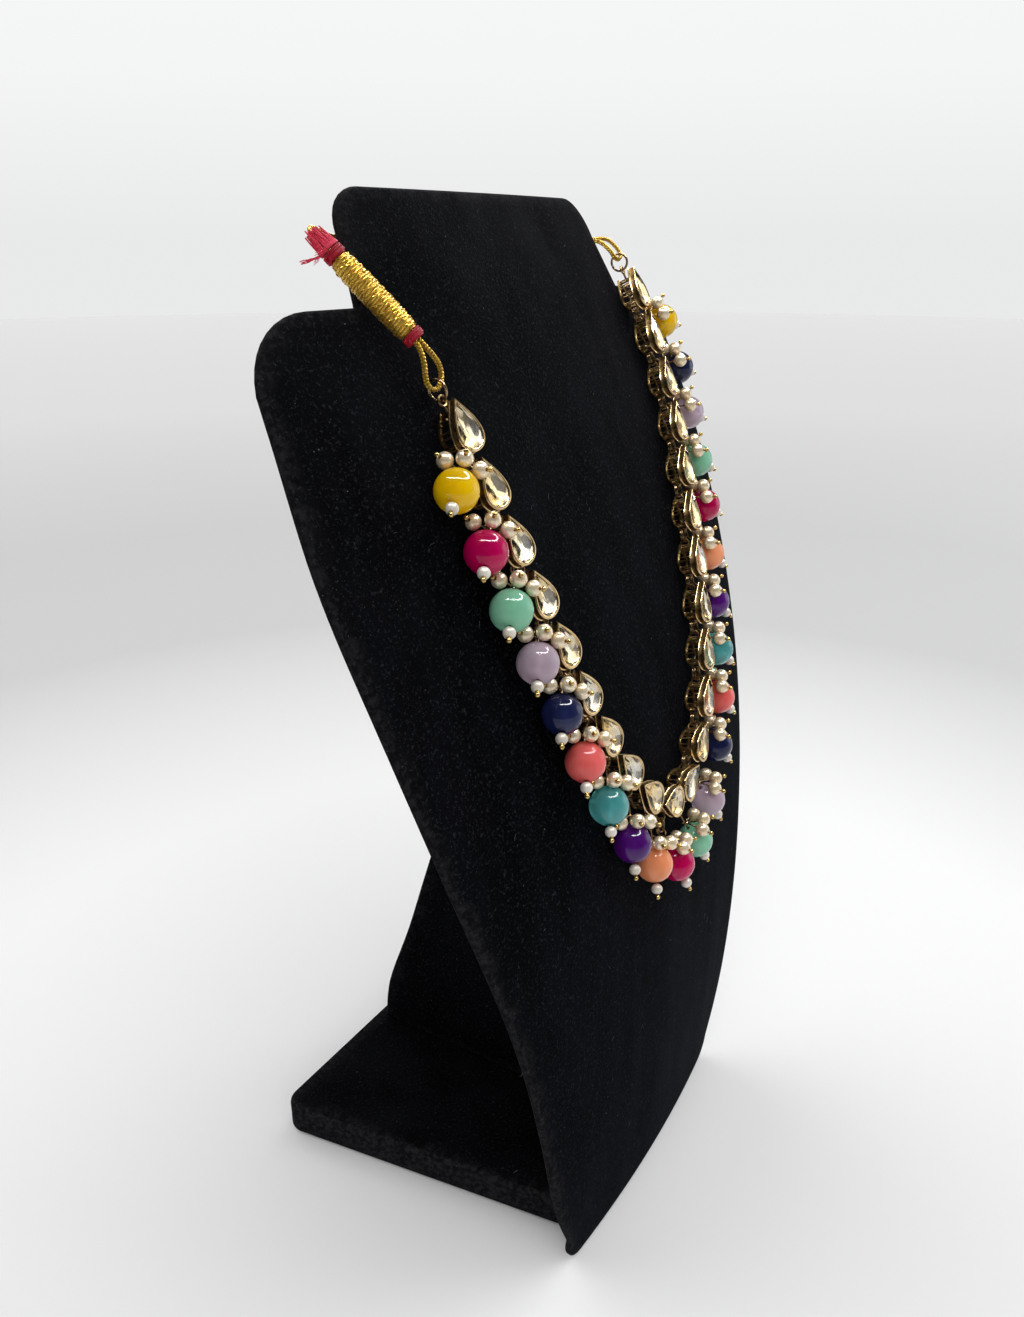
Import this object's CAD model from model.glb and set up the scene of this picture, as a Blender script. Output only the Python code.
# Kundan necklace on a plain velvet stand: what it looks like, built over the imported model
from math import asin, ceil, cos, pi, radians, sin

import bmesh
import bpy
import numpy as np
from mathutils import Matrix, Vector, geometry


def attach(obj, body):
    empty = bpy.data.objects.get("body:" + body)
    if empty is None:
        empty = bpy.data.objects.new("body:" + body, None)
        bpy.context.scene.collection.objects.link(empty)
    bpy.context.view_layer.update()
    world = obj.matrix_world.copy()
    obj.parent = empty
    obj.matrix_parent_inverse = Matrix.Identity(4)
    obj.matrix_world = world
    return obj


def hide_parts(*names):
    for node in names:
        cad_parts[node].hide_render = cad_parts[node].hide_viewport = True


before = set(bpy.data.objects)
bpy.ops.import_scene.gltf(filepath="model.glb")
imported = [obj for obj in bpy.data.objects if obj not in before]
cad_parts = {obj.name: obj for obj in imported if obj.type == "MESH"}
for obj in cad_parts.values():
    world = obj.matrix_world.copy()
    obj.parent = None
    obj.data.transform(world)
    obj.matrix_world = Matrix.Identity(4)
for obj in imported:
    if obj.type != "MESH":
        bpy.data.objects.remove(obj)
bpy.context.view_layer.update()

# Shapes are worked out in millimetres, as the CAD source does, and turned into metres when a mesh is made
MM = 0.001

# Stand
STAND_H, STAND_W, BOARD_T = 282.5, 190.5, 2.5
LEAN, LOW_Z, STRAIGHT_Z, SIDE_SWEEP, FACE_FRONT = 64, 50, 262, 9.5, -44.2
NECK_W, NECK_BASE_W, NECK_H, NECK_R, SHOULDER_R, BOTTOM_R = 113, 120, 23.9, 10.5, 19, 6
BASE_T, BASE_REAR_W, BASE_FRONT_W, BASE_DEPTH, BASE_R = 10, 108, 78, 104.5, 6
FIN_T, FIN_H, FIN_FOOT = 8, 222, 100
SIDE_ROWS = [
    (0.525, 0.03), (0.63, 0.12), (0.76, 0.32), (0.895, 0.50), (0.97, 0.64), (1, 0.745), (0.977, 0.845)]
FIN_ROWS = [(0.045, 1), (0.12, 0.965), (0.24, 0.82), (0.385, 0.665), (1, 0)]
REST_GAP, SEAT_GAP, FIT_GAP, SLACK = 0.3, 0.2, 0.1, 0.15
LINT_HAIRS = 70

# Links
LINKS, BOTTOM_LINK = 22, 10
STONE_L, STONE_W, STONE_H = 10.8, 7.4, 2.2
COLLAR_T, COLLAR_H, FLOOR_T, RIM_W = 0.5, 1.7, 0.5, 0.25
GALLERY_H, FRAME_T, LINK_GAP = 3.4, 0.8, 0.95
COLLAR_L = STONE_L + 4 * FIT_GAP + 2 * COLLAR_T
COLLAR_W = STONE_W + 2 * (FIT_GAP + COLLAR_T)
RIM_L = COLLAR_L + 2 * RIM_W
PITCH = RIM_L + LINK_GAP
FLOOR_Z = REST_GAP + FRAME_T + GALLERY_H
STONE_Z = FLOOR_Z + FLOOR_T + FIT_GAP
GIRDLE_H = COLLAR_H - FIT_GAP - 0.25
CHAIN_ROUTE = [
    (-53, 262), (-51.5, 247), (-49.2, 231.6), (-44.5, 206), (-38, 181), (-28.5, 155), (-14, 134), (-2.5, 127),
    (9, 128), (27, 142.5), (38, 167), (46, 192), (56, 217), (61.5, 241), (61.5, 254.5), (60.5, 272)]
CHAIN_MIDDLE = 177
GALLERY_LOOPS, LOOP_WIRE = 8, 0.4

# Rings
RING_R, RING_WIRE, EYE_R, EYE_WIRE = 1.9, 0.7, 1.25, 0.6
COIL_WIRE, COIL_STEP = 0.38, 0.4
END_RING_R, END_RING_WIRE = 2.4, 0.8
RING_Z = REST_GAP + FRAME_T + GALLERY_H / 2 - 0.6
HOOK = RING_R + EYE_R - EYE_WIRE / 2 - RING_WIRE / 2 - SLACK
EYE_Y = PITCH / 2 - HOOK
END_EYE_Y = RIM_L / 2 + 0.3
END_RING_Z = REST_GAP + END_RING_R + END_RING_WIRE / 2
END_RING_Y = END_EYE_Y + END_RING_R
SIDE_REACH = COLLAR_W / 2 + HOOK

# Drops: swing in degrees from straight down, and distance as a share of the usual one
BEAD_D, HANG, PIN_D, BEAD_BORE = 10, 12, 0.6, 1.2
END_PEARL_D, PEARL_D, SPRAY_WIRE, PEARL_BORE, BALL_D = 3, 4, 0.5, 0.9, 1.3
PEARL_LEAN, SPRAY_RISE, PEARL_ROLLS = 46, 2, (0, 50, 100)
END_PEARL_X = BEAD_D / 2 + FIT_GAP + END_PEARL_D / 2
END_BALL_X = END_PEARL_X + END_PEARL_D / 2 + BALL_D / 2
PEARL_REACH = BEAD_D / 2 + PEARL_D / 2 + FIT_GAP * 2
SPRAY_X = -BEAD_D / 2 - SPRAY_RISE
SPRAY_R = PIN_D / 2 + SLACK + SPRAY_WIRE / 2
DROP_ROWS = [
    (57, 0.95), (52, 0.95), (51, 1.00), (48, 0.97), (46, 1.00), (41, 1.02), (35, 1.10), (28, 1.27),
    (26, 1.29), (-8, 1.00), (-22, 1.40), (-22, 1.28), (-30, 1.02), (-33, 1.00), (-36, 0.98), (-38, 0.95),
    (-43, 0.95), (-53, 1.05), (-53, 0.95), (-62, 1.02), (-66, 1.08), (-69, 0.96)]
BEAD_COLOURS = (["yellow"] + ["magenta", "mint", "lavender", "navy", "coral", "aqua", "purple", "peach"] * 2
                + ["magenta", "mint", "lavender", "navy", "yellow"])

# Tie cord
CORD_D, BARREL_L, BARREL_D, BARREL_BORE, WHIP_L, FRAY_L = 1.4, 20, 5.4, 3.6, 2.2, 9
BARREL_FOOT, BARREL_AIM = (-56.5, 1.5, 253.5), (-6.2, 12.6, 14.3)
FRONT_POINTS = [
    (-59.8, 6.3, 259), (-57.3, 1.3, 253.3), (-56.4, -0.2, 251.4), (-55.8, -1, 249.4), (-55.3, -1.3, 246.9),
    (-55, -1.2, 244.8), (-54.3, -1.2, 242.9), (-52.7, -1.3, 241.7), (-50.9, -1.4, 241.7),
    (-49.5, -1.3, 243), (-49.2, -1.2, 244.8), (-50.1, -1.2, 246.8), (-51.8, -1.3, 248.4),
    (-53.6, -1.1, 250), (-54.9, 0, 251.8), (-55.8, 1.6, 253.8), (-58.2, 6.6, 259.5)]
BACK_POINTS = [
    (-60.7, 8.3, 261.2), (-63.4, 13.9, 267.6), (-64.2, 15.5, 269.4), (-64.6, 17.8, 271.4),
    (-63.6, 20.5, 273.1), (-61, 22.4, 273.6), (-57, 23, 272.9), (-51, 22.9, 271.7), (-15, 22.2, 270),
    (15, 22.2, 269.2), (48, 23.2, 268.8), (56.4, 24, 269.4), (61, 23.3, 270.4), (63.6, 20.3, 271.3),
    (64.4, 16.8, 271), (64.3, 13.2, 268.2), (63.4, 12, 266.3), (61.4, 11.7, 265.7), (59.4, 12, 266.3),
    (58.6, 13.2, 268.2), (58.4, 16.6, 270.5), (58.2, 19.8, 270.5), (56.3, 22, 269.4), (52, 22.1, 268),
    (46, 21.5, 267.2), (15, 20.4, 267.6), (-15, 20.4, 268.2), (-46, 21, 269.4), (-52, 21.4, 270.1),
    (-56.5, 21.6, 271), (-60, 20.9, 271.9), (-62.4, 18.8, 271.6), (-62.9, 16.3, 270.1), (-61.9, 14.3, 268),
    (-59.1, 8.6, 261.6)]
CORD_STEPS = 2
PLIES, PLAIT_PITCH, PLY_R, PLY_SWING, PLY_RISE, CORE_R = 3, 2.3, 0.26, 0.42, 0.26, 0.22
BARREL_ROWS = [(0, 0.6), (0.08, 0.85), (0.3, 1), (0.7, 1), (0.92, 0.85), (1, 0.6)]
WOUND_PITCH, WOUND_WIRE, CROSSINGS, CROSSING_R = 0.74, 0.62, 8, 0.13
WHIP_D, WHIP_PITCH, WHIP_WIRE, WANDER = BARREL_D - 0.4, 0.42, 0.5, 0.08

# Locks of the tuft: way round the barrel, tilt off its line, length as a share, threads and their radius.
# The ones with little tilt are the bunch, which draws together.
FRAY_ROWS = [
    (140, 5, 0.52, 8, 0.25), (175, 5, 0.58, 9, 0.26), (210, 4, 0.56, 9, 0.26), (245, 3, 0.54, 8, 0.25),
    (280, 2, 0.48, 6, 0.24), (122, 62, 0.58, 5, 0.17), (185, 84, 0.4, 3, 0.1), (150, 100, 0.35, 4, 0.08),
    (215, 100, 0.3, 3, 0.08)]
BUNCH_TILT = 40

# Light: radius of the floor, and the broken ring of small lamps that draws a curved glint on each bead
FLOOR_R = 4
RING_PARTS, RING_LAMPS, RING_HEIGHT, RING_LONG, RING_SHORT = 15, 13, 0.62, 0.5, 0.36
LAMP_WIDTH, LAMP_GLOW = 0.06, 120


# Vector helpers
def vec(*v):
    return np.array(v, float)


def unit(v):
    return v / np.linalg.norm(v)


def across_to(v, n):
    return unit(v - n * np.dot(v, n))


def spline(p0, p1, p2, p3, t):
    return 0.5 * (2 * p1 + (p2 - p0) * t + (2 * p0 - 5 * p1 + 4 * p2 - p3) * t ** 2
                  + (3 * p1 - p0 - 3 * p2 + p3) * t ** 3)


def smooth(points, steps):
    p = np.asarray(points, float)
    n = len(p)
    out = [spline(p[max(i - 1, 0)], p[i], p[i + 1], p[min(i + 2, n - 1)], k / steps)
           for i in range(n - 1) for k in range(steps)]
    return np.array(out + [p[-1]])


def lengths(path):
    return np.concatenate([[0], np.cumsum(np.linalg.norm(np.diff(path, axis=0), axis=1))])


def resample(path, step):
    s = lengths(path)
    t = np.linspace(0, s[-1], max(3, int(round(s[-1] / step)) + 1))
    return np.stack([np.interp(t, s, path[:, k]) for k in range(path.shape[1])], axis=1)


def turn(axis, angle):
    c, s = cos(radians(angle)), sin(radians(angle))
    return {"x": np.array([[1, 0, 0], [0, c, -s], [0, s, c]]),
            "y": np.array([[c, 0, s], [0, 1, 0], [-s, 0, c]]),
            "z": np.array([[c, -s, 0], [s, c, 0], [0, 0, 1]])}[axis]


def placed(outer, inner):
    """One place given inside another: both are a turn and an origin."""
    return outer[0] @ inner[0], outer[0] @ inner[1] + outer[1]


def here(x=0.0, y=0.0, z=0.0, turned=None):
    return (np.eye(3) if turned is None else turned), vec(x, y, z)


def axes(x, z):
    return np.stack([x, np.cross(z, x), z], axis=1)


def facing(a, b):
    """A place at a whose z axis points to b."""
    z = unit(b - a)
    return axes(across_to(vec(1, 0, 0) if abs(z[1]) > 0.9 else vec(0, 1, 0), z), z), a


# Panel surface
BOW = LEAN / ((STRAIGHT_Z - LOW_Z) ** 2 + 2 * (STRAIGHT_Z - LOW_Z) * (STAND_H - STRAIGHT_Z))
SIDE_CURVE = SIDE_SWEEP / (STAND_W / 2) ** 2


def face_slope(z):
    return 2 * BOW * (min(z, STRAIGHT_Z) - LOW_Z)


def face_pt(x, z):
    low = min(z, STRAIGHT_Z) - LOW_Z
    bowed = FACE_FRONT + BOW * low ** 2 + face_slope(z) * max(z - STRAIGHT_Z, 0)
    return vec(x, bowed + SIDE_CURVE * x * x, z)


def face_normal(x, z):
    return unit(vec(2 * SIDE_CURVE * x, -1, face_slope(z)))


def back_y(x, z):
    return face_pt(x, z)[1] + BOARD_T * np.linalg.norm([2 * SIDE_CURVE * x, 1, face_slope(z)])


def normal_at(p):
    return face_normal(p[0], p[2])


# Places of the links: joints walked along the route at the pitch
route = np.array([face_pt(x, z) for x, z in smooth(CHAIN_ROUTE, 8)])
route_s = lengths(route)


def route_at(s):
    i = max(0, min(len(route) - 2, int((route_s < s).sum()) - 1))
    return route[i] + (route[i + 1] - route[i]) * (s - route_s[i]) / (route_s[i + 1] - route_s[i])


def walk():
    s = CHAIN_MIDDLE - PITCH * LINKS / 2
    out = [s]
    for _ in range(LINKS):
        start, s = route_at(s), s + PITCH
        for _ in range(4):
            s += PITCH - np.linalg.norm(route_at(s) - start)
        out.append(s)
    return [route_at(s) for s in out]


joint = walk()


def link_mid(i):
    return (joint[i] + joint[i + 1]) / 2


def link_axis(i):
    return unit(joint[i + 1] - joint[i]) * (-1 if i < BOTTOM_LINK else 1)


def link_normal(i):
    return across_to(normal_at(link_mid(i)), link_axis(i))


def link_place(i):
    y, z = link_axis(i), link_normal(i)
    return np.stack([np.cross(y, z), y, z], axis=1), link_mid(i)


SIDE_SIGN = 1 if np.cross(link_axis(BOTTOM_LINK - 1), link_normal(BOTTOM_LINK - 1))[2] < 0 else -1


def hang_point(i):
    if i + 1 == BOTTOM_LINK:
        return link_mid(i) + unit(np.cross(link_axis(i), link_normal(i))) * SIDE_REACH * SIDE_SIGN
    return joint[i + 1] if i + 1 < BOTTOM_LINK else joint[i]


def drop_direction(i):
    n = normal_at(hang_point(i))
    down = across_to(vec(0, 0, -1), n)
    a = radians(DROP_ROWS[i][0])
    return unit(down * cos(a) + np.cross(down, n) * sin(a))


def pin_top(i):
    return hang_point(i) + drop_direction(i) * HOOK + normal_at(hang_point(i)) * RING_Z


def bead_mid(i):
    q = hang_point(i) + drop_direction(i) * HANG * DROP_ROWS[i][1]
    f = face_pt(q[0], q[2])
    return f + normal_at(f) * (BEAD_D / 2 + REST_GAP)


def drop_place(i):
    x = unit(bead_mid(i) - pin_top(i))
    return axes(x, across_to(normal_at(hang_point(i)), x)), bead_mid(i)


def ring_place(p):
    n = normal_at(p)
    return axes(across_to(vec(1, 0, 0), n), n), p + n * RING_Z


def barrel_place():
    z = unit(vec(*BARREL_AIM))
    return axes(across_to(vec(1, 0, 0), z), z), vec(*BARREL_FOOT)


# Shapes: each is a list of points and a list of faces
def grid_faces(rows, columns, wrap_rows=False, wrap_columns=True):
    out = []
    for i in range(rows if wrap_rows else rows - 1):
        j = (i + 1) % rows
        for k in range(columns if wrap_columns else columns - 1):
            m = (k + 1) % columns
            out.append((i * columns + k, i * columns + m, j * columns + m, j * columns + k))
    return out


def carried(path, closed=False, first=None):
    """Sidewise and upward directions at each point of a path, turning no more than the path does."""
    ahead = np.roll(path, -1, axis=0) - np.roll(path, 1, axis=0) if closed else np.gradient(path, axis=0)
    ahead /= np.linalg.norm(ahead, axis=1)[:, None]
    if first is None:
        first = vec(0.13, 0.21, 0.97) if abs(ahead[0][2]) < 0.9 else vec(0.9, 0.4, 0.1)
    sidewise = [across_to(first, ahead[0])]
    for t in ahead[1:]:
        sidewise.append(across_to(sidewise[-1], t))
    return np.array(sidewise), np.cross(ahead, sidewise)


def tube(path, radius, sides=8, closed=False, flat=1.0):
    """A tube along a path; radius is one number, or one for each point."""
    path = np.asarray(path, float)
    n = len(path)
    sidewise, up = carried(path, closed)
    r = np.broadcast_to(radius, n)[:, None, None]
    a = np.arange(sides) * 2 * pi / sides
    co = path[:, None, :] + r * (sidewise[:, None, :] * np.cos(a)[None, :, None]
                                 + flat * up[:, None, :] * np.sin(a)[None, :, None])
    faces = grid_faces(n, sides, wrap_rows=closed)
    if not closed:
        faces += [tuple(range(sides - 1, -1, -1)), tuple((n - 1) * sides + k for k in range(sides))]
    return co.reshape(-1, 3), faces


def ring(r, wire, steps=36, sides=10, gap=0.0, rise=0.0):
    """A wire ring round z; a gap in degrees leaves it open, with its ends a little apart in height."""
    a = np.radians(np.linspace(gap / 2, 360 - gap / 2, steps, endpoint=gap > 0))
    lift = rise * (a / pi - 1) / 2
    return tube(np.stack([r * np.cos(a), r * np.sin(a), lift], axis=1), wire / 2, sides, closed=gap == 0)


def lathe(rows, steps=48, wrap=False):
    a = np.arange(steps) * 2 * pi / steps
    co = np.array([[(r * cos(t), r * sin(t), z) for t in a] for r, z in rows])
    return co.reshape(-1, 3), grid_faces(len(rows), steps, wrap_rows=wrap)


def drilled(d, bore, steps=48, rows=26, squash=1.0):
    """A ball with a hole along z, its edge softened where the drill went in."""
    r, b = d / 2, bore / 2
    first = asin(b / r) * 1.25
    side = [(r * sin(t), -r * cos(t) * squash) for t in np.linspace(first, pi - first, rows)]
    edge = side[-1][1] - 0.12 * b
    return lathe([(b, -edge)] + side + [(b, edge)], steps, wrap=True)


def ball(d, steps=16, rows=9, squash=1.0):
    r = d / 2
    return lathe([(max(r * sin(t), 0.001), r * cos(t) * squash) for t in np.linspace(pi, 0, rows)], steps)


def pear_power(b):
    return sin(b) * sin(b / 2) ** 1.25


PEAR_TOP = max(pear_power(radians(a)) for a in range(0, 181))


def pear(l, w, n):
    out = []
    for i in range(2 * n):
        a = pi * i / n
        b = 2 * pi - a if a > pi else a
        side = -1 if a > pi else 1
        out.append((side * w / 2 * pear_power(b) / PEAR_TOP, l / 2 * cos(b)))
    return out


def pear_loft(rows, n=30, wrap=False, caps=()):
    """Pear-shaped loops of the given length, width and height, joined in order."""
    co = [(x, y, z) for l, w, z in rows for x, y in pear(l, w, n)]
    faces = [f[::-1] for f in grid_faces(len(rows), 2 * n, wrap_rows=wrap)]
    if "first" in caps:
        faces.append(tuple(range(2 * n)))
    if "last" in caps:
        faces.append(tuple((len(rows) - 1) * 2 * n + k for k in range(2 * n - 1, -1, -1)))
    return co, faces


def into_scene(name, data):
    obj = bpy.data.objects.new(name, data)
    bpy.context.scene.collection.objects.link(obj)
    return obj


class Parts:
    """Gathers shapes, in millimetres, for one joined mesh. mat is one number, or one for each face; tone is
    what the materials read as an edge of the velvet, a tarnished place or a dip of the plait."""

    def __init__(self):
        self.co, self.faces, self.mats, self.tones, self.count = [], [], [], [], 0

    def add(self, shape, mat=0, at=None, tone=0.5):
        co, faces = np.asarray(shape[0], float), shape[1]
        if at is not None:
            co = co @ at[0].T + at[1]
        self.co.append(co)
        self.faces.extend(tuple(k + self.count for k in f) for f in faces)
        self.mats.extend(np.broadcast_to(mat, len(faces)).tolist())
        self.tones.append(np.broadcast_to(tone, len(co)))
        self.count += len(co)

    def build(self, name, materials, slot, nodes, sharp=50):
        mesh = bpy.data.meshes.new(name)
        mesh.from_pydata((np.vstack(self.co) * MM).tolist(), [], self.faces)
        mesh.polygons.foreach_set("material_index", self.mats)
        mesh.polygons.foreach_set("use_smooth", [True] * len(self.faces))
        for m in materials:
            mesh.materials.append(m)
        mesh.attributes.new("tone", "FLOAT", "POINT").data.foreach_set("value", np.concatenate(self.tones))
        mesh.validate()
        mesh.set_sharp_from_angle(angle=radians(sharp))
        mesh.update()
        obj = into_scene(name, mesh)
        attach(obj, "root")
        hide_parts(*nodes)
        return obj


# Materials: scales are in features per metre
class Paint:
    def __init__(self, name, colour, rough, metal=0.0, **sockets):
        self.mat = bpy.data.materials.new(name)
        self.mat.use_nodes = True
        self.tree = self.mat.node_tree
        self.bsdf = self.tree.nodes["Principled BSDF"]
        self.place = self.node("ShaderNodeTexCoord").outputs["Object"]
        self.set("Base Color", (*colour, 1))
        self.set("Roughness", rough)
        self.set("Metallic", metal)
        for key, value in sockets.items():
            self.set(key.replace("_", " "), value)

    def node(self, kind, **settings):
        made = self.tree.nodes.new(kind)
        for key, value in settings.items():
            setattr(made, key, value)
        return made

    def set(self, socket, value):
        self.bsdf.inputs[socket].default_value = value

    def join(self, a, b):
        self.tree.links.new(a, b)

    def feed(self, *pairs):
        """Gives each socket its number or colour, or joins an output to it."""
        for socket, value in pairs:
            if isinstance(value, bpy.types.NodeSocket):
                self.join(value, socket)
            else:
                socket.default_value = (*value, 1) if isinstance(value, tuple) else value

    def stretched(self, x, y, z):
        m = self.node("ShaderNodeMapping")
        m.inputs["Scale"].default_value = (x, y, z)
        self.join(self.place, m.inputs["Vector"])
        return m.outputs["Vector"]

    def noise(self, scale, detail=2.0, rough=0.5, where=None):
        n = self.node("ShaderNodeTexNoise")
        self.join(where or self.place, n.inputs["Vector"])
        for key, value in (("Scale", scale), ("Detail", detail), ("Roughness", rough)):
            n.inputs[key].default_value = value
        return n.outputs["Fac"]

    def specks(self, scale, size):
        """White near the middles of scattered cells, black elsewhere."""
        v = self.node("ShaderNodeTexVoronoi")
        self.join(self.place, v.inputs["Vector"])
        v.inputs["Scale"].default_value = scale
        near = self.ramp(v.outputs["Distance"], [(size * 0.6, 1), (size, 0)])
        some = self.ramp(v.outputs["Color"], [(0.60, 0), (0.68, 1)])
        return self.math("MULTIPLY", near, some)

    def attribute(self, name):
        return self.node("ShaderNodeAttribute", attribute_name=name).outputs["Fac"]

    def math(self, how, a, b):
        m = self.node("ShaderNodeMath", operation=how)
        self.feed((m.inputs[0], a), (m.inputs[1], b))
        return m.outputs[0]

    def ramp(self, fac, stops):
        r = self.node("ShaderNodeValToRGB")
        e = r.color_ramp.elements
        while len(e) < len(stops):
            e.new(0.5)
        for slot, (at, value) in zip(e, stops):
            slot.position = at
            slot.color = (value, value, value, 1) if isinstance(value, (int, float)) else (*value, 1)
        self.join(fac, r.inputs["Fac"])
        return r.outputs["Color"]

    def blend(self, fac, a, b):
        m = self.node("ShaderNodeMix", data_type="RGBA")
        self.feed((m.inputs[0], fac), (m.inputs[6], a), (m.inputs[7], b))
        return m.outputs[2]

    def colour(self, out):
        self.join(out, self.bsdf.inputs["Base Color"])

    def rough(self, out):
        self.join(out, self.bsdf.inputs["Roughness"])

    def bump(self, height, distance, strength=1.0, over=None):
        b = self.node("ShaderNodeBump")
        b.inputs["Strength"].default_value = strength
        b.inputs["Distance"].default_value = distance * MM
        self.join(height, b.inputs["Height"])
        if over is not None:
            self.join(over, b.inputs["Normal"])
        self.join(b.outputs["Normal"], self.bsdf.inputs["Normal"])
        return b.outputs["Normal"]


def velvet_paint():
    """Black velvet: short pile, brushed patches, a paler line along the edges and specks of dust."""
    p = Paint("black velvet", (0.0015, 0.0016, 0.002), 0.95, Sheen_Weight=0.008, Sheen_Roughness=0.5,
              Sheen_Tint=(0.55, 0.7, 1.0, 1), Specular_IOR_Level=0.02)
    nap = p.noise(1.0, 3, 0.6, p.stretched(55, 55, 12))
    pile = p.noise(1300, 4, 0.75)
    body = p.blend(p.ramp(nap, [(0.35, 0), (0.7, 1)]), (0.0004, 0.0005, 0.0007), (0.002, 0.0023, 0.0034))
    body = p.blend(p.ramp(pile, [(0.55, 0), (0.72, 1)]), body, (0.022, 0.023, 0.028))
    edge = p.math("MULTIPLY", p.attribute("tone"), p.ramp(p.noise(700, 2), [(0.4, 0.2), (0.65, 0.8)]))
    body = p.blend(edge, body, (0.022, 0.022, 0.024))
    body = p.blend(p.specks(620, 0.09), body, (0.05, 0.052, 0.06))
    p.colour(p.blend(p.specks(260, 0.05), body, (0.1, 0.105, 0.12)))
    p.rough(p.ramp(nap, [(0.3, 0.98), (0.75, 0.8)]))
    p.bump(pile, 0.22, 0.7, p.bump(nap, 0.5, 0.25))
    return p.mat


def gold_paint(name, colour, dark, rough, worn=0.5):
    """Antique gold plate: brown in the hollows, brighter where it is rubbed, with fine casting grain."""
    p = Paint(name, colour, rough, 1.0)
    tarnish = p.math("MULTIPLY", p.ramp(p.noise(420, 4, 0.6), [(0.38, 1), (0.66, 0)]), worn)
    tarnish = p.math("MAXIMUM", tarnish, p.math("SUBTRACT", p.attribute("tone"), 0.5))
    p.colour(p.blend(tarnish, colour, dark))
    p.rough(p.ramp(p.noise(1500, 3), [(0.3, rough * 0.75), (0.7, min(1.0, rough * 1.5))]))
    p.bump(p.noise(2200, 3), 0.05, 0.35)
    return p.mat


def glass_paint():
    """Clear glass of the stones, with a faint warm tint and polishing marks."""
    p = Paint("clear stone", (0.97, 0.955, 0.92), 0.03, Transmission_Weight=1.0, IOR=1.5,
              Specular_IOR_Level=0.6)
    p.rough(p.ramp(p.noise(900, 3), [(0.45, 0.01), (0.75, 0.05)]))
    p.bump(p.noise(220, 2), 0.02, 0.1)
    return p.mat


def foil_paint():
    """Silver foil behind the stones, yellowed in places and softly dented."""
    p = Paint("silver foil", (0.95, 0.93, 0.88), 0.12, 1.0)
    age = p.ramp(p.noise(110, 1, 0.5), [(0.34, 0), (0.56, 1)])
    p.colour(p.blend(age, (0.86, 0.83, 0.75), (0.92, 0.74, 0.42)))
    p.rough(p.ramp(p.noise(700, 2), [(0.3, 0.06), (0.75, 0.2)]))
    p.bump(p.noise(150, 1, 0.5), 0.2, 0.3)
    return p.mat


def bead_paint(name, colour, deep, waxy, clear=0.0):
    """Polished cloudy glass that lets a little light in, with faint streaks and tiny pits."""
    p = Paint("bead " + name, colour, 0.1, Subsurface_Weight=waxy, Subsurface_Radius=(1.0, 0.8, 0.7),
              Subsurface_Scale=1.6 * MM, Transmission_Weight=clear, IOR=1.5, Specular_IOR_Level=0.3,
              Coat_Weight=0.1, Coat_Roughness=0.02)
    cloud = p.ramp(p.noise(1.0, 3, 0.55, p.stretched(170, 170, 70)), [(0.36, 0), (0.68, 1)])
    p.colour(p.blend(cloud, deep, colour))
    p.rough(p.ramp(p.noise(1800, 3), [(0.4, 0.05), (0.75, 0.12)]))
    p.bump(p.noise(260, 2), 0.03, 0.1)
    return p.mat


def pearl_paint(name, colour, shade, rough, metal):
    """Coated pearl: warm overtone in patches, satin lustre under a clear coat, and faint dimples."""
    p = Paint(name, colour, rough, metal, Coat_Weight=0.6, Coat_Roughness=0.1, Specular_IOR_Level=0.6)
    p.colour(p.blend(p.ramp(p.noise(170, 1), [(0.3, 0), (0.7, 1)]), shade, colour))
    p.rough(p.ramp(p.noise(1600, 2), [(0.35, rough * 0.85), (0.7, rough * 1.2)]))
    p.bump(p.noise(900, 2, 0.5), 0.03 if metal > 0.2 else 0.08, 0.2 if metal > 0.2 else 0.5)
    return p.mat


def thread_paint(name, colour, glint, metal, rough, sheen):
    """Wound thread: fine fibres with glints between them, dark where a ply dips under another."""
    p = Paint(name, colour, rough, metal, Sheen_Weight=sheen, Sheen_Roughness=0.4, Specular_IOR_Level=0.25)
    fibre = p.noise(4200, 2, 0.6)
    body = p.blend(p.ramp(fibre, [(0.34, 0), (0.66, 1)]), colour, glint)
    dip = p.math("MULTIPLY", p.math("SUBTRACT", p.attribute("tone"), 0.5), 2.0)
    p.colour(p.blend(dip, body, tuple(0.12 * c for c in colour)))
    p.rough(p.ramp(p.noise(2400, 2), [(0.3, rough * 0.7), (0.7, min(1.0, rough * 1.35))]))
    p.bump(fibre, 0.05, 0.6)
    return p.mat


def lint_paint():
    """Loose hairs on the velvet."""
    p = Paint("lint", (0.1, 0.1, 0.11), 0.9)
    p.colour(p.blend(p.noise(900, 1), (0.03, 0.03, 0.034), (0.14, 0.145, 0.16)))
    return p.mat


velvet = velvet_paint()
lint = lint_paint()
gold_bright = gold_paint("gold rim", (0.78, 0.57, 0.3), (0.3, 0.18, 0.07), 0.18, 0.5)
gold_dark = gold_paint("antique gold", (0.5, 0.34, 0.14), (0.13, 0.08, 0.03), 0.3, 0.8)
wire_dark = gold_paint("antique wire", (0.52, 0.37, 0.19), (0.15, 0.09, 0.05), 0.24, 0.7)
ball_gold = gold_paint("gold ball", (0.72, 0.5, 0.17), (0.3, 0.18, 0.06), 0.24, 0.4)
glass = glass_paint()
foil = foil_paint()
pearl_white = pearl_paint("white pearl", (0.86, 0.81, 0.73), (0.64, 0.56, 0.46), 0.42, 0.15)
pearl_cream = pearl_paint("cream pearl", (0.93, 0.81, 0.6), (0.82, 0.65, 0.42), 0.24, 0.45)
cord_gold = thread_paint("gold thread", (0.42, 0.21, 0.012), (0.98, 0.68, 0.12), 0.65, 0.3, 0.05)
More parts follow.
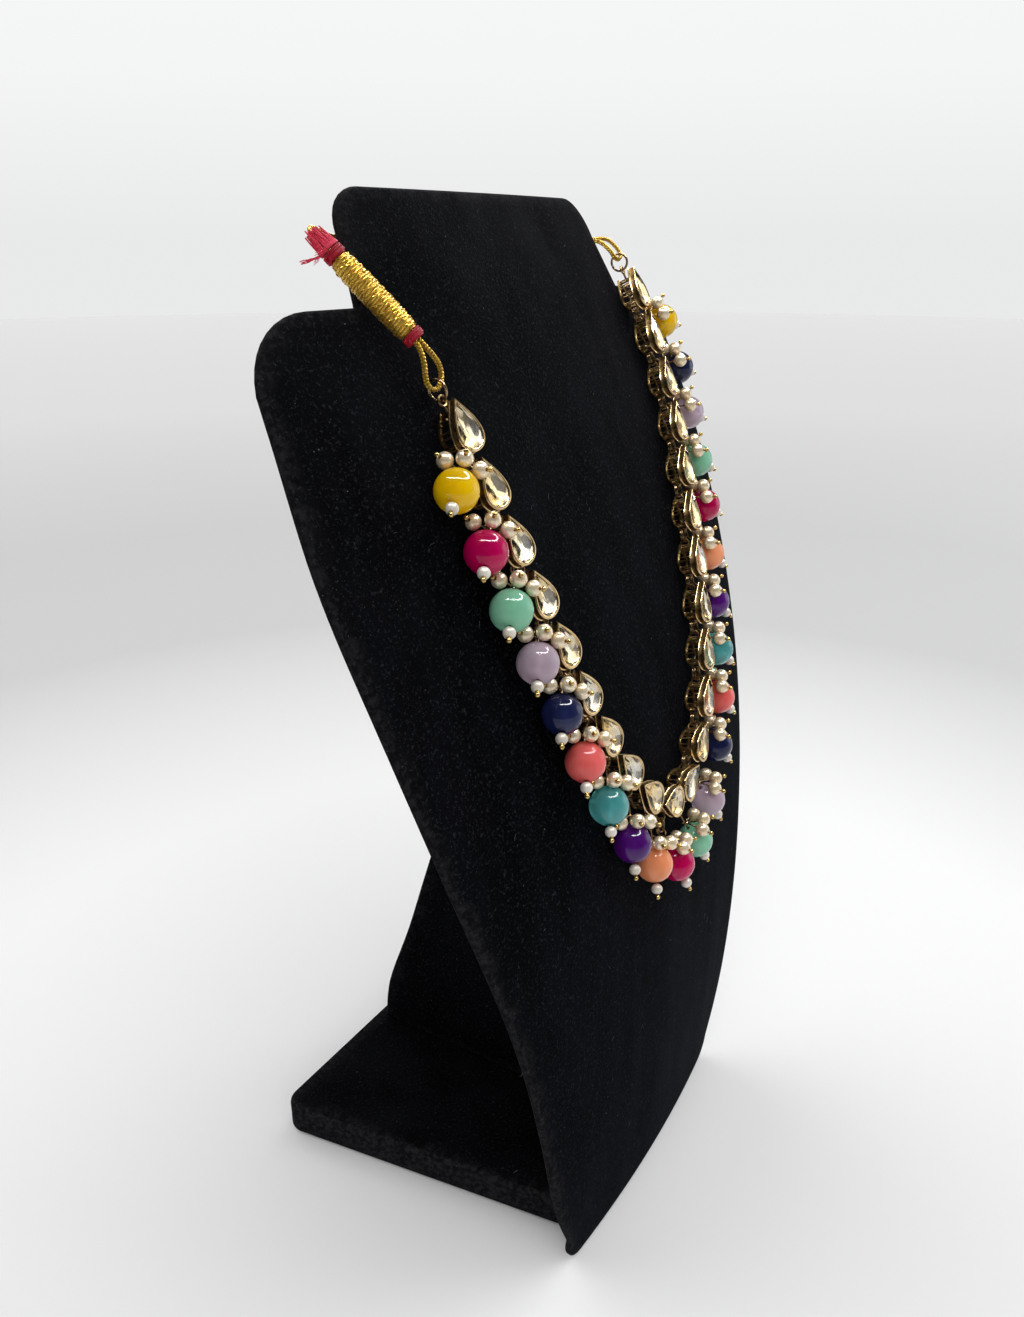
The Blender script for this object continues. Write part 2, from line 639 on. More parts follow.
cord_orange = thread_paint("deep gold thread", (0.2, 0.085, 0.005), (0.75, 0.42, 0.05), 0.55, 0.36, 0.05)
thread_red = thread_paint("crimson thread", (0.22, 0.001, 0.008), (0.48, 0.008, 0.03), 0.0, 0.7, 0.03)
fray_red = thread_paint("loose red thread", (0.55, 0.006, 0.04), (0.85, 0.07, 0.13), 0.0, 0.8, 0.08)

# Beads: colour, deeper colour, how waxy and how clear
BEAD_LOOKS = {
    "yellow": ((0.93, 0.6, 0.0), (0.84, 0.5, 0.0), 0.35, 0.15),
    "magenta": ((0.56, 0.0, 0.1), (0.42, 0.0, 0.07), 0.3, 0.1),
    "mint": ((0.3, 0.68, 0.46), (0.22, 0.56, 0.37), 0.4, 0.2),
    "lavender": ((0.68, 0.54, 0.64), (0.57, 0.44, 0.54), 0.35, 0.4),
    "navy": ((0.014, 0.02, 0.085), (0.006, 0.009, 0.045), 0.2),
    "coral": ((0.82, 0.15, 0.14), (0.66, 0.09, 0.08), 0.35),
    "aqua": ((0.17, 0.6, 0.6), (0.1, 0.47, 0.48), 0.35, 0.5),
    "purple": ((0.11, 0.008, 0.23), (0.06, 0.003, 0.13), 0.25, 0.1),
    "peach": ((0.88, 0.34, 0.17), (0.74, 0.25, 0.1), 0.35)}
bead_paints = {name: bead_paint(name, *look) for name, look in BEAD_LOOKS.items()}


# Camera at the photograph's angle: its lens is 1050 pixels long where the photograph is 1317 pixels high
camera = into_scene("camera", bpy.data.cameras.new("camera"))
camera.data.sensor_width = 36
camera.data.lens = 36 * 1050 / 1317
camera.location = (-0.2398, -0.1363, 0.2723)
camera.rotation_euler = (radians(68.05), 0, radians(-58.43))
camera.data.clip_start, camera.data.clip_end = 0.01, 50
bpy.context.scene.camera = camera


# Tie cord: three plies braided round the same line as the CAD strands
def braid(path, name, node, paint, other):
    fine = resample(smooth(path, 6), 0.2)
    s = lengths(fine)
    sidewise, up = carried(fine, first=vec(0, 1, 0))
    parts = Parts()
    for ply in range(PLIES):
        a = 2 * pi * (s / PLAIT_PITCH + ply / PLIES)
        swing, rise = PLY_SWING * np.sin(a), PLY_RISE * np.sin(2 * a)
        line = fine + swing[:, None] * sidewise + rise[:, None] * up
        dip = 0.5 + 0.5 * (1 - np.abs(np.sin(2 * a)) ** 0.7)
        parts.add(tube(line, PLY_R, 8, flat=1.1), tone=np.repeat(dip, 8))
    parts.add(tube(fine[::6], CORE_R, 6), 1)
    return parts.build(name, [paint, other], "cord_gold", [node], sharp=60)


front = braid(FRONT_POINTS, "cord_front", "dori_front", cord_gold, cord_orange)
back = braid(BACK_POINTS, "cord_back", "dori_back", cord_gold, cord_orange)


# Barrel: a core with thread wound over it and a few threads across, and whippings at its ends
def barrel_radius(share):
    rows = np.array(BARREL_ROWS, float)
    wall = (BARREL_D - BARREL_BORE) / 2
    return BARREL_BORE / 2 + wall * np.interp(share, rows[:, 0], rows[:, 1])


def winding(z0, z1, radius, pitch, wire, seed):
    """Thread wound round z from one height to another, a little unevenly."""
    rng = np.random.default_rng(seed)
    turns = (z1 - z0) / pitch
    n = int(turns * 36)
    t = np.linspace(0, 1, n)
    knots = np.linspace(0, 1, int(turns * 3) + 2)
    shift = np.interp(t, knots, rng.normal(0, WANDER, len(knots)))
    z = z0 + (z1 - z0) * t + shift * np.minimum(1, 8 * np.minimum(t, 1 - t))
    a = 2 * pi * turns * t
    r = radius(t) - wire / 2 + np.interp(t, knots, rng.normal(0, 0.02, len(knots)))
    return tube(np.stack([r * np.cos(a), r * np.sin(a), z], axis=1), wire / 2, 6)


on_barrel = barrel_place()
parts = Parts()
core = [(barrel_radius(t) - 0.3, t * BARREL_L) for t in np.linspace(0, 1, 24)]
parts.add(lathe([(BARREL_BORE / 2, 0)] + core + [(BARREL_BORE / 2, BARREL_L)], 40, wrap=True), 1, on_barrel)
parts.add(winding(0.3, BARREL_L - 0.3, barrel_radius, WOUND_PITCH, WOUND_WIRE, 3), 0, on_barrel)
for k in range(CROSSINGS):
    t = np.linspace(0, 1, 160)
    a = 2 * pi * (k / CROSSINGS + 2.4 * t * (1 if k % 2 else -1))
    r = barrel_radius(t) - 0.1 + 0.1 * np.sin(2 * pi * 25 * t + k)
    line = np.stack([r * np.cos(a), r * np.sin(a), 0.3 + (BARREL_L - 0.6) * t], axis=1)
    parts.add(tube(line, CROSSING_R, 5), k % 2, on_barrel)
barrel = parts.build("cord_barrel", [cord_gold, cord_orange], "cord_gold", ["dori_barrel"], sharp=60)

parts = Parts()
inner = WHIP_D / 2 - 0.35
knot = [(0.55 * cos(a) + 0.1, 0.5 * sin(a), 0.35 * sin(2 * a))
        for a in np.linspace(0, 2 * pi, 20, endpoint=False)]
for k, z in enumerate((-WHIP_L - FIT_GAP, BARREL_L + FIT_GAP)):
    top = z + WHIP_L
    parts.add(lathe([(BARREL_BORE / 2, z + 0.1), (inner, z + 0.15), (inner, top - 0.15),
                     (BARREL_BORE / 2, top - 0.1)], 32, wrap=True), 0, on_barrel)
    parts.add(winding(z + 0.28, top - 0.28, lambda t: WHIP_D / 2 + 0 * t, WHIP_PITCH, WHIP_WIRE, 11 + k), 0,
              on_barrel)
    parts.add(tube(knot, 0.27, 7, closed=True), 0,
              placed(on_barrel, here(-WHIP_D / 2 + 0.25, 0.4, z + WHIP_L / 2, turn("y", 80))))
whippings = parts.build("cord_whippings", [thread_red], "thread_red", ["dori_whippings"], sharp=60)

# Frayed tuft: a short thick bunch of threads from the upper whipping, one stray lock and a few hairs
parts = Parts()
rng = np.random.default_rng(5)
tuft_z = BARREL_L + WHIP_L + 2 * FIT_GAP
tuft_r = (BARREL_BORE + WHIP_D) / 4
parts.add(lathe([(BARREL_BORE / 2, tuft_z), (tuft_r + 0.3, tuft_z + 0.1), (tuft_r + 0.25, tuft_z + 0.8),
                 (BARREL_BORE / 2, tuft_z + 1)], 28, wrap=True), 0, on_barrel)
for way, tilt, share, count, thick in FRAY_ROWS:
    spread, gather = (12, 0.5) if tilt < BUNCH_TILT else (4, 0)
    for k in range(count):
        w = radians(way + rng.normal(0, spread))
        lift = radians(tilt + rng.normal(0, 4))
        long = FRAY_L * share * rng.uniform(0.75, 1.0)
        t = np.linspace(0, 1, 9)
        out = long * t * sin(lift)
        up = long * t * cos(lift)
        sway = 0.3 * np.sin(t * rng.uniform(2, 5) + rng.uniform(0, 6)) * t * min(1.0, long / 4)
        aside = sway + rng.normal(0, 0.18) * (1 - t)
        off = tuft_r * (1 - gather * t) + out
        x = off * cos(w) - aside * sin(w)
        y = off * sin(w) + aside * cos(w)
        z = tuft_z + 0.5 + up + 0.18 * np.sin(t * 7 + k)
        parts.add(tube(np.stack([x, y, z], axis=1), np.linspace(thick, thick * 0.6, 9), 6), 0, on_barrel)
fray = parts.build("cord_fray", [fray_red], "thread_red", ["dori_fray"], sharp=60)

for piece, points, on_it in ((front, FRONT_POINTS, [barrel, whippings, fray]), (back, BACK_POINTS, [])):
    line = smooth(points, CORD_STEPS)


# Stand: boards wrapped in velvet, with rounded edges and a seam round their sides
def close_points(outline, step):
    """The closed outline with more points, no further apart than the step."""
    p = np.asarray(outline, float)
    out = []
    for a, b in zip(p, np.roll(p, -1, axis=0)):
        n = max(1, int(ceil(np.linalg.norm(b - a) / step)))
        out += [a + (b - a) * k / n for k in range(n)]
    return np.array(out)


def inset(loop, by):
    """The loop moved inwards; it runs counterclockwise."""
    before, after = loop - np.roll(loop, 1, axis=0), np.roll(loop, -1, axis=0) - loop
    n1 = np.stack([-before[:, 1], before[:, 0]], axis=1) / np.linalg.norm(before, axis=1)[:, None]
    n2 = np.stack([-after[:, 1], after[:, 0]], axis=1) / np.linalg.norm(after, axis=1)[:, None]
    n = n1 + n2
    n /= np.maximum(np.sum(n * n1, axis=1), 0.35)[:, None]
    return loop + n * by


def inside(points, loop):
    """Which points lie inside the loop: those with an odd number of its edges to one side."""
    x, y = points[:, 0][:, None], points[:, 1][:, None]
    x1, y1 = loop[:, 0][None], loop[:, 1][None]
    x2, y2 = np.roll(loop[:, 0], -1)[None], np.roll(loop[:, 1], -1)[None]
    with np.errstate(divide="ignore", invalid="ignore"):
        cross = x1 + (y - y1) * (x2 - x1) / (y2 - y1)
    return (((y1 > y) != (y2 > y)) & (x < cross)).sum(axis=1) % 2 == 1


def board(parts, outline, thickness, radius, place, step=1.6, cell=3.5, seam=0.12):
    """A plate with rounded edges; place turns a point of its outline and a depth into a point in space."""
    loop = close_points(outline, step)
    bends = np.radians(np.linspace(0, 90, 5))
    rows = [(radius * (1 - sin(t)), radius * (1 - cos(t))) for t in bends]
    middle = [(0.0, thickness * 0.42), (seam, thickness * 0.5), (0.0, thickness * 0.58)]
    rows = rows + middle + [(i, thickness - d) for i, d in rows[::-1]]
    co, tones = [], []
    for i, d in rows:
        moved = inset(loop, i)
        co += [place(u, v, d) for u, v in moved]
        tones += [1.0 if 0.02 < d < thickness - 0.02 else 0.7] * len(loop)
    faces = grid_faces(len(rows), len(loop))
    parts.add((co, faces), 0, tone=np.array(tones))
    edge = inset(loop, radius)
    low, high = edge.min(axis=0), edge.max(axis=0)
    us, vs = np.arange(low[0] + cell / 2, high[0], cell), np.arange(low[1] + cell / 2, high[1], cell)
    spots = np.array([(u, v) for v in vs for u in us])
    spots = spots[inside(spots, inset(edge, 1.3))]
    flat = [Vector(p) for p in edge] + [Vector(p) for p in spots]
    made = geometry.delaunay_2d_cdt(flat, [], [list(range(len(edge)))], 1, 1e-5)
    near = np.array([tuple(p) for p in made[0]])
    gap = np.min(np.linalg.norm(near[:, None, :] - edge[None, ::3, :], axis=2), axis=1)
    for d, way in ((0.0, 1), (thickness, -1)):
        parts.add(([place(u, v, d) for u, v in near], [tuple(f)[::way] for f in made[2]]), 0,
                  tone=np.interp(gap, [0, 1.2, 2.4], [0.7, 0.2, 0]))


def corner(cx, cy, r, start, end, steps=10):
    return [(cx + r * cos(a), cy + r * sin(a)) for a in map(radians, np.linspace(start, end, steps))]


def weld(obj):
    """Joins the loops that lie on each other and turns all faces outwards."""
    bm = bmesh.new()
    bm.from_mesh(obj.data)
    bmesh.ops.remove_doubles(bm, verts=bm.verts, dist=0.00002)
    bmesh.ops.recalc_face_normals(bm, faces=bm.faces)
    bm.to_mesh(obj.data)
    bm.free()
    obj.data.update()


shoulder_z = STAND_H - NECK_H
side = smooth([(r[0] * STAND_W / 2, r[1] * STAND_H) for r in SIDE_ROWS], 8)
half = (corner(side[0][0] - BOTTOM_R, BOTTOM_R, BOTTOM_R, -90, 0) + [tuple(p) for p in side]
        + corner(side[-1][0] - SHOULDER_R, shoulder_z - SHOULDER_R, SHOULDER_R, 15, 90)
        + [(NECK_BASE_W / 2 + 1.2, shoulder_z), (NECK_BASE_W / 2 + 0.2, shoulder_z + 0.25),
           (NECK_BASE_W / 2 - 0.15, shoulder_z + 1.2)]
        + corner(NECK_W / 2 - NECK_R, STAND_H - NECK_R, NECK_R, 0, 90))
panel_outline = half + [(-x, z) for x, z in half[::-1]]


def on_panel(x, z, depth):
    return face_pt(x, z) - face_normal(x, z) * depth


parts = Parts()
board(parts, panel_outline, BOARD_T, 1.0, on_panel)
rng = np.random.default_rng(21)
for _ in range(LINT_HAIRS):
    x, z = rng.uniform(-80, 80), rng.uniform(12, 270)
    if abs(x) > 50 and (z > 235 or z < 60):
        continue
    a, long = rng.uniform(0, pi), rng.uniform(0.5, 1.8)
    t = np.linspace(-0.5, 0.5, 5)
    bend = rng.uniform(-0.5, 0.5) * (t ** 2 * 4 - 1) * long * 0.3
    xs = x + long * t * cos(a) - bend * sin(a)
    zs = z + long * t * sin(a) + bend * cos(a)
    parts.add(tube([on_panel(u, v, -0.04) for u, v in zip(xs, zs)], 0.028, 3), 1)
weld(parts.build("panel", [velvet, lint], "velvet", ["stand_panel"]))

front_y = back_y(FIN_T / 2, FIN_H) + SEAT_GAP
rear_y = back_y(0, 0) + FIN_FOOT
low_fin = BASE_T + SEAT_GAP
rear = smooth([(front_y + (rear_y - front_y) * r[1] + 1, r[0] * FIN_H) for r in FIN_ROWS], 6)
rise = [(back_y(FIN_T / 2, z) + SEAT_GAP, z) for z in np.linspace(low_fin, FIN_H, 40)]
fin_outline = [(rear[0][0], low_fin)] + [tuple(p) for p in rear[1:]] + rise[::-1]
parts = Parts()
board(parts, fin_outline, FIN_T, 1.0, lambda y, z, d: vec(FIN_T / 2 - d, y, z), cell=5, seam=0.05)
weld(parts.build("fin", [velvet], "velvet", ["stand_fin"]))

half_front, corner_x = BASE_FRONT_W / 2, BASE_REAR_W / 2 - BASE_R
corner_y = back_y(0, 0) + BASE_DEPTH - BASE_R
base_outline = ([(x, back_y(x, 0) + SEAT_GAP) for x in np.linspace(-half_front, half_front, 25)]
                + corner(corner_x, corner_y, BASE_R, -8, 90) + corner(-corner_x, corner_y, BASE_R, 90, 188))
parts = Parts()
board(parts, base_outline, BASE_T, 1.2, lambda x, y, d: vec(x, y, BASE_T - d), cell=5, seam=0.08)
weld(parts.build("base", [velvet], "velvet", ["stand_base"]))


# Settings: rim wire, wall and folded lip round the stone, open gallery of wire loops, back frame and eyes
def setting(parts, at, top_eye, side_eye, shade):
    def row(o, z):
        return COLLAR_L + 2 * o, COLLAR_W + 2 * o, z

    z0, z1 = FLOOR_Z, FLOOR_Z + FLOOR_T
    lip = z1 + COLLAR_H
    rim = [row(o, z0 + z) for o, z in ((-1.2, 0.02), (0.08, 0.02), (0.2, 0.09), (0.25, 0.22), (0.21, 0.36),
                                       (0.08, 0.45), (-0.02, 0.5))]
    wall = [row(-0.02, z0 + 0.5), row(-0.04, z1 + 0.25), row(-0.04, lip - 0.55), row(0.0, lip - 0.45)]
    edge = [row(o, lip + z) for o, z in ((0, -0.45), (0.07, -0.34), (0.08, -0.2), (0, -0.06), (-0.16, 0.02),
                                         (-0.36, 0.04), (-0.58, 0), (-0.76, -0.09), (-0.8, -0.16),
                                         (-0.52, -0.3))] + [row(-0.5, z1 + 0.04)]
    parts.add(pear_loft(rim, caps=("first",)), 0, at, shade)
    parts.add(pear_loft(wall), 1, at, shade + 0.1)
    parts.add(pear_loft(edge, caps=("last",)), 0, at, shade)
    fl, fw = COLLAR_L * 0.74, COLLAR_W * 0.84
    hollow = [(fl - a, fw - b, REST_GAP + z) for a, b, z in (
        (0, 0, 0.2), (0.1, 0.1, 0.04), (0.5, 0.4, 0), (1.75, 1.4, 0), (1.95, 1.5, 0.2), (1.95, 1.5, 0.6),
        (1.75, 1.4, FRAME_T), (0.5, 0.4, FRAME_T), (0.1, 0.1, 0.72), (0, 0, 0.55))]
    parts.add(pear_loft(hollow[::-1], wrap=True), 1, at, shade + 0.1)
    track = np.array(pear(fl - 0.7, fw - 0.6, 90))
    s = lengths(np.vstack([track, track[:1]]))
    w, b, t = 0.92, REST_GAP + 0.45, FLOOR_Z + 0.2
    bend = [(w, 0.5), (w - 0.15, 0.12), (w - 0.5, 0)]
    square = ([(-u, b + v) for u, v in bend] + [(u, b + v) for u, v in bend[::-1]] + [(w, (b + t) / 2)]
              + [(u, t - v) for u, v in bend] + [(-u, t - v) for u, v in bend[::-1]] + [(-w, (b + t) / 2)])
    for k in range(GALLERY_LOOPS):
        middle = (k + 0.5) / GALLERY_LOOPS * s[-1]
        j = int(np.searchsorted(s, middle)) % len(track)
        p, along = track[j], unit(track[(j + 3) % len(track)] - track[j - 3])
        loop = [(p[0] + along[0] * u, p[1] + along[1] * u, z) for u, z in square]
        parts.add(tube(loop, LOOP_WIRE / 2, 7, closed=True), 1, at, shade + 0.15 + 0.06 * (k % 3))
    eye = ring(EYE_R, EYE_WIRE * 0.92, 28, 9)
    for y in [-EYE_Y] + ([EYE_Y] if top_eye == "upright" else []):
        parts.add(eye, 1, placed(at, here(0, y, RING_Z, turn("y", 90))), shade)
    for y in (EYE_Y - EYE_R, EYE_R - EYE_Y):
        post = [(0, y, REST_GAP + 0.4), (0, y, RING_Z), (0, y, FLOOR_Z + 0.1)]
        parts.add(tube(post, [0.4, 0.34, 0.42], 9), 1, at, shade)
    if top_eye == "flat":
        stem = [(0, EYE_Y - EYE_R, END_RING_Z), (0, END_EYE_Y - EYE_R + 0.1, END_RING_Z)]
        flat_eye = ring(EYE_R - 0.1, EYE_WIRE * 0.92, 28, 9)
        parts.add(flat_eye, 1, placed(at, here(0, END_EYE_Y, END_RING_Z)), shade)
        parts.add(tube(stem, 0.3, 9), 1, at, shade)
    if side_eye:
        swung = placed(at, here(turned=turn("z", -90 if side_eye > 0 else 90)))
        parts.add(eye, 1, placed(swung, here(0, COLLAR_W / 2, RING_Z, turn("y", 90))), shade)
        y = COLLAR_W / 2 - EYE_R
        parts.add(tube([(0, y, REST_GAP + 0.4), (0, y, FLOOR_Z + 0.1)], 0.36, 9), 1, swung, shade)


rng = np.random.default_rng(8)
for i in range(LINKS):
    parts = Parts()
    setting(parts, link_place(i), "flat" if i in (0, LINKS - 1) else "upright",
            SIDE_SIGN if i == BOTTOM_LINK - 1 else 0, rng.uniform(0.4, 0.62))
    parts.build(f"setting_{i + 1:02d}", [gold_bright, gold_dark], "setting_gold", [f"link_{i + 1:02d}"],
                sharp=38)


# Stones: a long table, kite and star facets down to the girdle, and a foiled back cut in shallow facets
def stone(parts, at, rng):
    n = 8
    girdle = np.array(pear(STONE_L, STONE_W, n))
    tables = np.array(pear(STONE_L * 0.66, STONE_W * 0.56, n // 2))
    tables[:, 1] -= 0.35
    tables += rng.normal(0, 0.1, tables.shape)
    z0, z1, z2 = STONE_Z, STONE_Z + GIRDLE_H, STONE_Z + STONE_H
    lean = rng.normal(0, 0.035, 2)
    co = [(x, y, z0 + 0.45) for x, y in girdle] + [(x, y, z1) for x, y in girdle]
    co += [(x, y, z2 - 0.06 + lean[0] * x + lean[1] * y * 0.5) for x, y in tables]
    co += [(rng.normal(0, 0.25), 1.4, z0 + 0.03), (rng.normal(0, 0.25), -1.9, z0 + 0.03)]
    m = 2 * n
    clear, foiled = grid_faces(2, m), []
    for k in range(n):
        t, t1 = 2 * m + k, 2 * m + (k + 1) % n
        g0, g, g1 = m + (2 * k - 1) % m, m + 2 * k, m + 2 * k + 1
        clear += [(t, g0, g), (t, g, g1), (t, g1, t1)]
    keel = [2 * m + n + ((girdle[k][1] + girdle[(k + 1) % m][1]) / 2 <= -0.4) for k in range(m)]
    for k in range(m):
        foiled.append((keel[k], (k + 1) % m, k))
        if keel[k] != keel[k - 1]:
            foiled.append((keel[k], k, keel[k - 1]))
    clear.append(tuple(2 * m + n - 1 - k for k in range(n)))
    parts.add((co, [f[::-1] for f in clear + foiled]), [0] * len(clear) + [1] * len(foiled), at)


parts = Parts()
rng = np.random.default_rng(14)
for i in range(LINKS):
    stone(parts, link_place(i), rng)
weld(parts.build("stones_cut", [glass, foil], "stone", ["stones"], sharp=4))

# Rings: three turns of wire at each joint, a little askew, and one ring at each end of the chain
parts = Parts()
rng = np.random.default_rng(2)
for p in joint[1:LINKS] + [hang_point(BOTTOM_LINK - 1)]:
    at = ring_place(p)
    for k in (-1, 0, 1):
        askew = turn("z", rng.uniform(0, 360)) @ turn("x", rng.normal(0, 1.5))
        parts.add(ring(RING_R + 0.04 * k, COIL_WIRE, 40, 9, gap=7, rise=0.12), 0,
                  placed(at, here(0, 0, COIL_STEP * k, askew)), rng.uniform(0.45, 0.8))
parts.build("rings_joint", [wire_dark], "gold_wire", ["jump_rings"])

parts = Parts()
for i in (0, LINKS - 1):
    at = placed(link_place(i), here(0, END_RING_Y, END_RING_Z, turn("y", 90)))
    parts.add(ring(END_RING_R, END_RING_WIRE * 0.85, 48, 12, gap=3, rise=0.1), 0, at, 0.45)
parts.build("rings_end", [wire_dark], "gold_wire", ["end_rings"])

# Drops: beads, pins with wrapped loops, and pearls on their own wires
for i in range(LINKS):
    parts = Parts()
    at = placed(drop_place(i), here(turned=turn("y", 90)))
    parts.add(drilled(BEAD_D, BEAD_BORE), 0, at)
    colour = BEAD_COLOURS[i]
    parts.build(f"drop_bead_{i + 1:02d}", [bead_paints[colour]], "bead_" + colour, [f"bead_{i + 1:02d}"])

lean = radians(PEARL_LEAN)
pins, ends, side_pearls, sprays = Parts(), Parts(), Parts(), Parts()
rng = np.random.default_rng(33)
for i in range(LINKS):
    at = drop_place(i)
    reach = np.linalg.norm(bead_mid(i) - pin_top(i))
    shade = rng.uniform(0.35, 0.65)
    pins.add(ring(EYE_R, EYE_WIRE * 0.8, 28, 8, gap=14, rise=0.1), 0,
             placed(at, here(-reach, 0, 0, turn("x", 90) @ turn("z", 10))), shade)
    t = np.linspace(0, 2.3, 40)
    wrap = np.stack([EYE_R - reach + 0.1 + 0.42 * t, 0.42 * np.cos(2 * pi * t),
                     0.42 * np.sin(2 * pi * t)], axis=1)
    pins.add(tube(wrap, 0.2, 7), 0, at, shade)
    pins.add(tube([(EYE_R - reach, 0, 0), (0, 0, 0), (END_BALL_X, 0, 0)], PIN_D / 2 * 0.85, 8), 0, at, shade)
    along = placed(at, here(turned=turn("y", 90)))
    pins.add(ball(BALL_D, squash=0.92), 1, placed(along, here(z=END_BALL_X)), 0.4)
    pins.add(ring(0.42, 0.26, 16, 6), 1, placed(along, here(z=END_BALL_X - BALL_D / 2 + 0.05)), 0.6)
    ends.add(drilled(END_PEARL_D, PEARL_BORE, 28, 15, 0.94), 0, placed(along, here(z=END_PEARL_X)))
    sprays.add(ring(SPRAY_R, SPRAY_WIRE * 0.9, 20, 7), 0, placed(along, here(z=SPRAY_X)), shade)
    for roll in PEARL_ROLLS:
        a = radians(roll)
        flip = -1 if DROP_ROWS[i][0] >= 0 else 1
        spot = PEARL_REACH * vec(-cos(lean), sin(lean) * cos(a) * flip, sin(lean) * sin(a))
        root = vec(SPRAY_X, 0, 0) + SPRAY_R * unit(vec(0, spot[1], spot[2]))
        way = unit(spot - root)
        side_pearls.add(drilled(PEARL_D * rng.uniform(0.95, 1.0), PEARL_BORE, 32, 17,
                                rng.uniform(0.94, 1.0)), 0, placed(at, facing(spot, spot + way)))
        stop = spot + way * (PEARL_D / 2 + BALL_D / 2)
        bow_out = (root + spot) / 2 + unit(vec(-1, spot[1] * 0.2, spot[2] * 0.2)) * 0.18
        sprays.add(tube(smooth([root, bow_out, spot, stop], 4), SPRAY_WIRE / 2 * 0.85, 7), 0, at, shade)
        sprays.add(ball(BALL_D * rng.uniform(0.88, 1.0)), 1, placed(at, facing(stop, stop + way)), 0.42)
        base_cap = spot - way * (PEARL_D / 2 - 0.02)
        sprays.add(ring(0.38, 0.24, 14, 6), 1, placed(at, facing(base_cap, base_cap + way)), 0.6)
pins.build("pins_head", [wire_dark, ball_gold], "gold_wire", ["head_pins"])
ends.build("pearls_end", [pearl_white], "pearl_white", ["end_pearls"])
side_pearls.build("pearls_side", [pearl_cream], "pearl_cream", ["side_pearls"])
sprays.build("pearl_wires", [wire_dark, ball_gold], "gold_wire", ["pearl_sprays"])


# Floor, lights and world
def floor():
    mesh = bpy.data.meshes.new("floor")
    turns = np.linspace(0, 2 * pi, 64, endpoint=False)
    loop = [(FLOOR_R * cos(a), FLOOR_R * sin(a), -0.0005) for a in turns]
    mesh.from_pydata(loop, [], [tuple(range(64))])
    p = Paint("pale floor", (0.84, 0.84, 0.85), 0.8, Specular_IOR_Level=0.0)
    away = p.node("ShaderNodeVectorMath", operation="LENGTH")
    p.join(p.place, away.inputs[0])
    p.colour(p.ramp(p.math("MULTIPLY", away.outputs["Value"], 1 / FLOOR_R), [
        (0.06, 0.86), (0.085, 0.75), (0.125, 0.58), (0.2, 0.565), (0.4, 0.665), (1.0, 0.715)]))
    p.bump(p.noise(900, 2), 0.05, 0.1)
    mesh.materials.append(p.mat)
    obj = into_scene("floor", mesh)


def lamp(name, kind, energy, **settings):
    data = bpy.data.lights.new(name, kind)
    data.energy = energy
    for key, value in settings.items():
        setattr(data, key, value)
    return into_scene(name, data)


def aimed(way):
    return Vector(way).to_track_quat("-Z", "Y").to_euler()


floor()

# The ring of lamps hangs over the necklace, a little away from the camera, and shows only as a reflection
middle = Vector((0, -0.03, 0.19))
ahead = Vector((0.852, 0.524, 0))
overhead = (ahead * 0.27 + Vector((0, 0, 0.963))).normalized()
across = overhead.cross(ahead).normalized()
other = overhead.cross(across)
for k in range(1, RING_LAMPS + 1):
    a = 2 * pi * (k + 0.5) / RING_PARTS
    spot = middle + overhead * RING_HEIGHT + across * RING_LONG * cos(a) + other * RING_SHORT * sin(a)
    z = (spot - middle).normalized()
    along = other * RING_SHORT * cos(a) - across * RING_LONG * sin(a)
    x = (along - z * along.dot(z)).normalized()
    size = along.length * 2 * pi / RING_PARTS
    part = lamp(f"ring_{k:02d}", "AREA", LAMP_GLOW * size * LAMP_WIDTH, shape="RECTANGLE", size=size,
                size_y=LAMP_WIDTH)
    part.matrix_world = Matrix.Translation(spot) @ Matrix((x, z.cross(x), z)).transposed().to_4x4()
    part.visible_diffuse = False

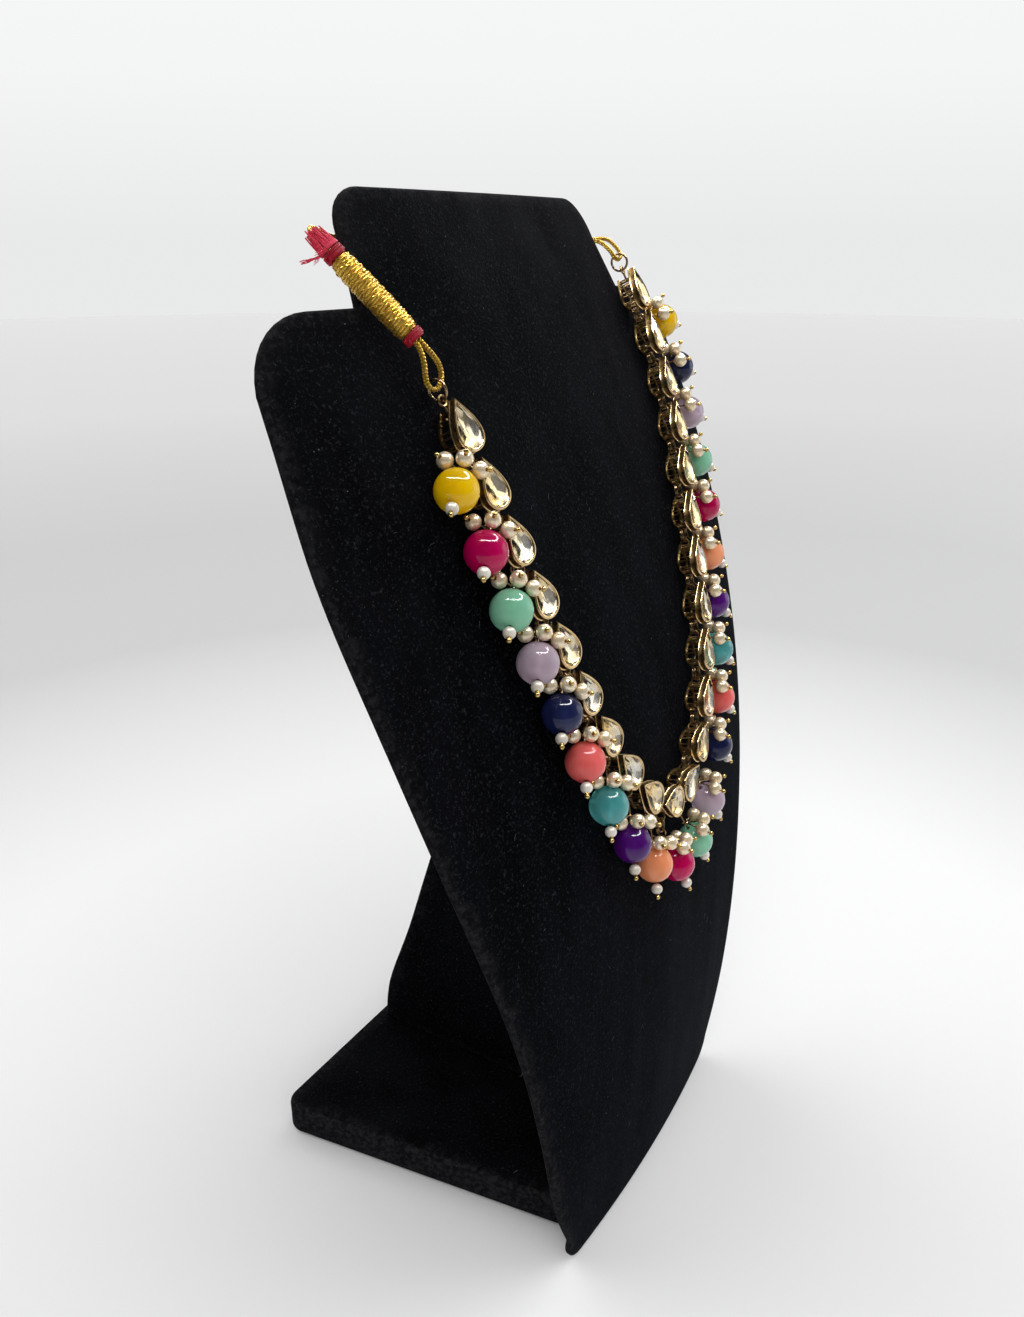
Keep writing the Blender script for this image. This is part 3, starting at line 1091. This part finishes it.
# The window is what the flat tops of the stones reflect; the suns light everything softly without glints
window = lamp("window", "AREA", 1.3, shape="RECTANGLE", size=0.7, size_y=0.5, color=(0.9, 0.95, 1))
window.location = middle + Vector((0.96, -0.69, 0.16))
window.rotation_euler = aimed(middle - window.location)
for name, way, energy in (("key", (0.5, 0.6, -1), 1.6), ("right", (-0.9, 0.5, -1), 1.3),
                          ("rear", (0.1, -0.9, -1), 1.1)):
    sun = lamp(name, "SUN", energy, angle=1.2)
    sun.rotation_euler = aimed(way)
    sun.visible_glossy = False

# World: pale where it is seen; in reflections a darker room, darkest on the side where the camera stands
world = bpy.data.worlds.new("studio")
bpy.context.scene.world = world
world.use_nodes = True
tree = world.node_tree
new, link = tree.nodes.new, tree.links.new
shown, rest = tree.nodes["Background"], new("ShaderNodeBackground")
way = new("ShaderNodeTexCoord").outputs["Generated"]
for paint, side, stops in ((shown, (0, 0, 1), [(0.5, 0.815), (0.56, 0.905), (0.68, 0.96)]),
                           (rest, (-0.79, -0.485, 0.37), [(0.35, 0.32), (0.62, 0.16), (0.8, 0.05)])):
    dot, half = new("ShaderNodeVectorMath"), new("ShaderNodeMath")
    dot.operation, half.operation = "DOT_PRODUCT", "MULTIPLY_ADD"
    dot.inputs[1].default_value = side
    half.inputs[1].default_value = half.inputs[2].default_value = 0.5
    ramp = new("ShaderNodeValToRGB")
    ramp.color_ramp.elements.new(0.5)
    for slot, (at, value) in zip(ramp.color_ramp.elements, stops):
        slot.position, slot.color = at, (value, value * 1.005, value * 1.01, 1)
    link(way, dot.inputs[0])
    link(dot.outputs["Value"], half.inputs[0])
    link(half.outputs[0], ramp.inputs["Fac"])
    link(ramp.outputs["Color"], paint.inputs["Color"])
pick, mix = new("ShaderNodeLightPath"), new("ShaderNodeMixShader")
link(pick.outputs["Is Camera Ray"], mix.inputs[0])
link(rest.outputs[0], mix.inputs[1])
link(shown.outputs[0], mix.inputs[2])
link(mix.outputs[0], tree.nodes["World Output"].inputs["Surface"])
bpy.context.scene.view_settings.view_transform = "Standard"
